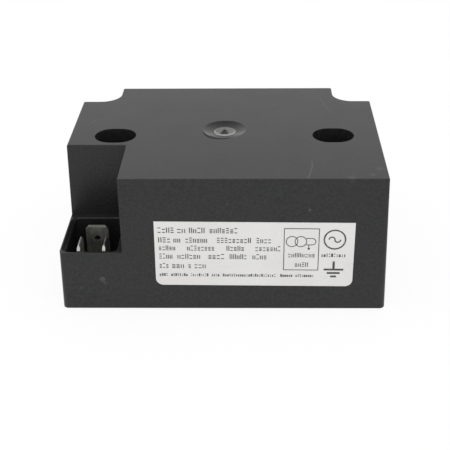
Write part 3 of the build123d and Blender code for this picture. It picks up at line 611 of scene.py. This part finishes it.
class Print:
    """Thin raised shapes on the label's face, in millimetres from the label's middle."""

    def __init__(self):
        self.build = bmesh.new()
        self.chance = random.Random(PRINT_SEED)

    def slab(self, outline):
        """A flat shape with the given outline, as a thin closed solid."""
        top = [self.build.verts.new((x, y, PRINT_THICKNESS)) for x, y in outline]
        bottom = [self.build.verts.new((x, y, -PRINT_SUNK)) for x, y in outline]
        self.build.faces.new(top)
        self.build.faces.new(list(reversed(bottom)))
        for i in range(len(outline)):
            j = (i + 1) % len(outline)
            self.build.faces.new((top[j], top[i], bottom[i], bottom[j]))

    def bar(self, start, end, width):
        """A straight stroke with square ends."""
        start, end = Vector(start), Vector(end)
        run = (end - start).normalized()
        side = Vector((-run.y, run.x)) * width / 2
        self.slab([start - side, end - side, end + side, start + side])

    def arc(self, centre, radius, width, first=0.0, last=360.0, steps=48):
        """A curved stroke, or a whole ring, as a closed strip."""
        whole = abs(last - first) >= 360
        count = steps if whole else steps + 1
        strips = []
        for i in range(count):
            angle = math.radians(first + (last - first) * i / steps)
            ray = Vector((math.cos(angle), math.sin(angle)))
            inner = Vector(centre) + ray * (radius - width / 2)
            outer = Vector(centre) + ray * (radius + width / 2)
            places = [(inner, PRINT_THICKNESS), (outer, PRINT_THICKNESS)]
            places += [(outer, -PRINT_SUNK), (inner, -PRINT_SUNK)]
            strips.append([self.build.verts.new((p.x, p.y, z)) for p, z in places])
        pairs = list(zip(strips, strips[1:]))
        if whole:
            pairs.append((strips[-1], strips[0]))
        else:
            self.build.faces.new(strips[0])
            self.build.faces.new(list(reversed(strips[-1])))
        for here, there in pairs:
            for k in range(4):
                m = (k + 1) % 4
                self.build.faces.new((here[m], here[k], there[k], there[m]))

    def word(self, left, right, bottom, height, stroke):
        """Marks in place of a word: loose ticks and dashes, which join into nothing."""
        count = max(1, round((right - left) / (MARK_PITCH * height)))
        pitch = (right - left) / count
        wide = pitch - MARK_GAP * stroke
        for i in range(count):
            x = left + pitch * i
            dashes = self.chance.choice(MARK_DASHES)
            top = bottom + height * self.chance.choice(MARK_HEIGHTS)
            if dashes:
                rise = (top - bottom - stroke) / (dashes - 1)
                for j in range(dashes):
                    y = bottom + stroke / 2 + rise * j
                    self.bar((x, y), (x + wide, y), stroke)
            else:
                for side in TICK_PLACES:
                    self.bar((x + wide * side, bottom), (x + wide * side, top), stroke)

    def mesh(self, name):
        """The shapes as a mesh in the part's frame."""
        self.build.transform(label_matrix())
        bmesh.ops.recalc_face_normals(self.build, faces=self.build.faces)
        made = bpy.data.meshes.new(name)
        self.build.to_mesh(made)
        self.build.free()
        return made


def framed_symbol(ink):
    """Two rings and an earthed pole, in a frame."""
    left, low, right, high = FRAME_BOX
    corners = [(left, low), (right, low), (right, high), (left, high)]
    for i, corner in enumerate(corners):
        ink.bar(corner, corners[(i + 1) % 4], FRAME_STROKE)
    for centre in RING_CENTRES:
        ink.arc(centre, RING_RADIUS, FRAME_STROKE)
    for y in (POLE_Y + POLE_RADIUS, POLE_Y - POLE_RADIUS):
        ink.bar((POLE_LEFT, y), (POLE_RIGHT, y), FRAME_STROKE)
    ink.arc((POLE_RIGHT, POLE_Y), POLE_RADIUS, FRAME_STROKE, -90, 90, 20)
    ink.bar((POLE_FOOT_X, POLE_FOOT_TOP), (POLE_FOOT_X, POLE_FOOT_LOW), FRAME_STROKE)
    ink.arc((POLE_FOOT_X, POLE_DOT_Y), POLE_DOT_RADIUS, POLE_DOT_STROKE, steps=16)


def supply_sign(ink):
    """One wave in a ring, for an alternating supply."""
    ink.arc((SIGNS_X, SIGN_Y), SIGN_RADIUS, SIGN_STROKE)
    ink.arc((SIGNS_X - WAVE_RADIUS, SIGN_Y), WAVE_RADIUS, WAVE_STROKE, 0, 180, 16)
    ink.arc((SIGNS_X + WAVE_RADIUS, SIGN_Y), WAVE_RADIUS, WAVE_STROKE, 180, 360, 16)


def earth_sign(ink):
    """A stem over three bars."""
    ink.bar((SIGNS_X, EARTH_STEM_TOP), (SIGNS_X, EARTH_STEM_LOW), EARTH_STEM_STROKE)
    for y, half in EARTH_BARS:
        ink.bar((SIGNS_X - half, y), (SIGNS_X + half, y), EARTH_BAR_STROKE)


def label_print(material):
    """Greeked lines of type, the framed symbol and two plain signs."""
    ink = Print()
    for words, bottom, height, stroke in TEXT_LINES:
        for left, right in words:
            ink.word(left, right, bottom, height, stroke)
    framed_symbol(ink)
    supply_sign(ink)
    earth_sign(ink)
    add_piece("label_print", ink.mesh("label_print"), material)


def empty_tree(owner):
    """The node tree of a world or a material, with nothing in it."""
    owner.use_nodes = True
    owner.node_tree.nodes.clear()
    return owner.node_tree


def mix_shaders(tree, plain, seen, output_kind):
    """Camera, glossy and transmission rays get the shader that is seen, and the others the plain one."""
    path = tree.nodes.new("ShaderNodeLightPath")
    total = path.outputs["Is Camera Ray"]
    for name in ("Is Glossy Ray", "Is Transmission Ray"):
        either = tree.nodes.new("ShaderNodeMath")
        either.operation = "MAXIMUM"
        tree.links.new(total, either.inputs[0])
        tree.links.new(path.outputs[name], either.inputs[1])
        total = either.outputs[0]
    mixer = tree.nodes.new("ShaderNodeMixShader")
    output = tree.nodes.new(output_kind)
    tree.links.new(total, mixer.inputs[0])
    tree.links.new(plain.outputs[0], mixer.inputs[1])
    tree.links.new(seen.outputs[0], mixer.inputs[2])
    tree.links.new(mixer.outputs[0], output.inputs["Surface"])


def surroundings():
    """Even white light, which reflections see as white walls under a greyer ceiling."""
    world = bpy.data.worlds.new("surroundings")
    bpy.context.scene.world = world
    tree = empty_tree(world)
    place = tree.nodes.new("ShaderNodeTexCoord")
    height = tree.nodes.new("ShaderNodeSeparateXYZ")
    ramp = tree.nodes.new("ShaderNodeValToRGB")
    walls, ceiling = ramp.color_ramp.elements
    walls.position = WALLS_UP_TO
    walls.color = (1, 1, 1, 1)
    ceiling.position = CEILING_FROM
    ceiling.color = CEILING_COLOR
    seen = tree.nodes.new("ShaderNodeBackground")
    tree.links.new(place.outputs["Generated"], height.inputs[0])
    tree.links.new(height.outputs["Z"], ramp.inputs[0])
    tree.links.new(ramp.outputs[0], seen.inputs["Color"])
    light = tree.nodes.new("ShaderNodeBackground")
    light.inputs["Color"].default_value = (1, 1, 1, 1)
    light.inputs["Strength"].default_value = SKY_STRENGTH
    mix_shaders(tree, light, seen, "ShaderNodeOutputWorld")


def pale_floor():
    """A matt floor that shows nearly white and keeps the object's shadow."""
    mesh = bpy.data.meshes.new("floor")
    signs = [(-1, -1), (1, -1), (1, 1), (-1, 1)]
    corners = [(x * FLOOR_HALF, y * FLOOR_HALF, FLOOR_Z) for x, y in signs]
    mesh.from_pydata(corners, [], [(0, 1, 2, 3)])
    floor = bpy.data.objects.new("floor", mesh)
    bpy.context.scene.collection.objects.link(floor)
    material = bpy.data.materials.new("floor")
    tree = empty_tree(material)
    matt = tree.nodes.new("ShaderNodeBsdfDiffuse")
    matt.inputs["Color"].default_value = FLOOR_COLOR
    white = tree.nodes.new("ShaderNodeEmission")
    partly = tree.nodes.new("ShaderNodeMixShader")
    partly.inputs[0].default_value = FLOOR_WHITE_SHARE
    tree.links.new(matt.outputs[0], partly.inputs[1])
    tree.links.new(white.outputs[0], partly.inputs[2])
    mix_shaders(tree, matt, partly, "ShaderNodeOutputMaterial")
    mesh.materials.append(material)


def soft_lamp():
    """A square lamp overhead, turned to the object."""
    data = bpy.data.lights.new("soft_lamp", "AREA")
    data.size = LAMP_SIZE
    data.energy = LAMP_POWER
    lamp = bpy.data.objects.new("soft_lamp", data)
    lamp.location = LAMP_PLACE
    lamp.rotation_euler = (-LAMP_PLACE).to_track_quat("-Z", "Y").to_euler()
    bpy.context.scene.collection.objects.link(lamp)


def camera():
    """The photograph's camera, from its target, distance, yaw, elevation and roll."""
    elevation = math.radians(CAMERA_ELEVATION)
    back = Vector((0, -math.cos(elevation), math.sin(elevation)))
    back.rotate(Matrix.Rotation(math.radians(CAMERA_YAW), 3, "Z"))
    sight = -back
    right = sight.cross(Vector((0, 0, 1))).normalized()
    down = sight.cross(right)
    roll = Matrix.Rotation(math.radians(CAMERA_ROLL), 3, sight)
    right, down = roll @ right, roll @ down
    rotation = Matrix((right, -down, back)).transposed()
    data = bpy.data.cameras.new("camera")
    data.sensor_width = CAMERA_SENSOR
    data.lens = CAMERA_LENS
    data.shift_x = CAMERA_SHIFT_X
    data.clip_start = CAMERA_NEAR * MM
    data.clip_end = CAMERA_FAR * MM
    eye = (CAMERA_TARGET + back * CAMERA_DISTANCE) * MM
    made = bpy.data.objects.new("camera", data)
    made.matrix_world = Matrix.Translation(eye) @ rotation.to_4x4()
    bpy.context.scene.collection.objects.link(made)
    bpy.context.scene.camera = made


dress_nodes()
gate_mark(gate_plastic())
label_print(print_ink())
bpy.context.scene.view_settings.view_transform = "Standard"
surroundings()
pale_floor()
soft_lamp()
camera()
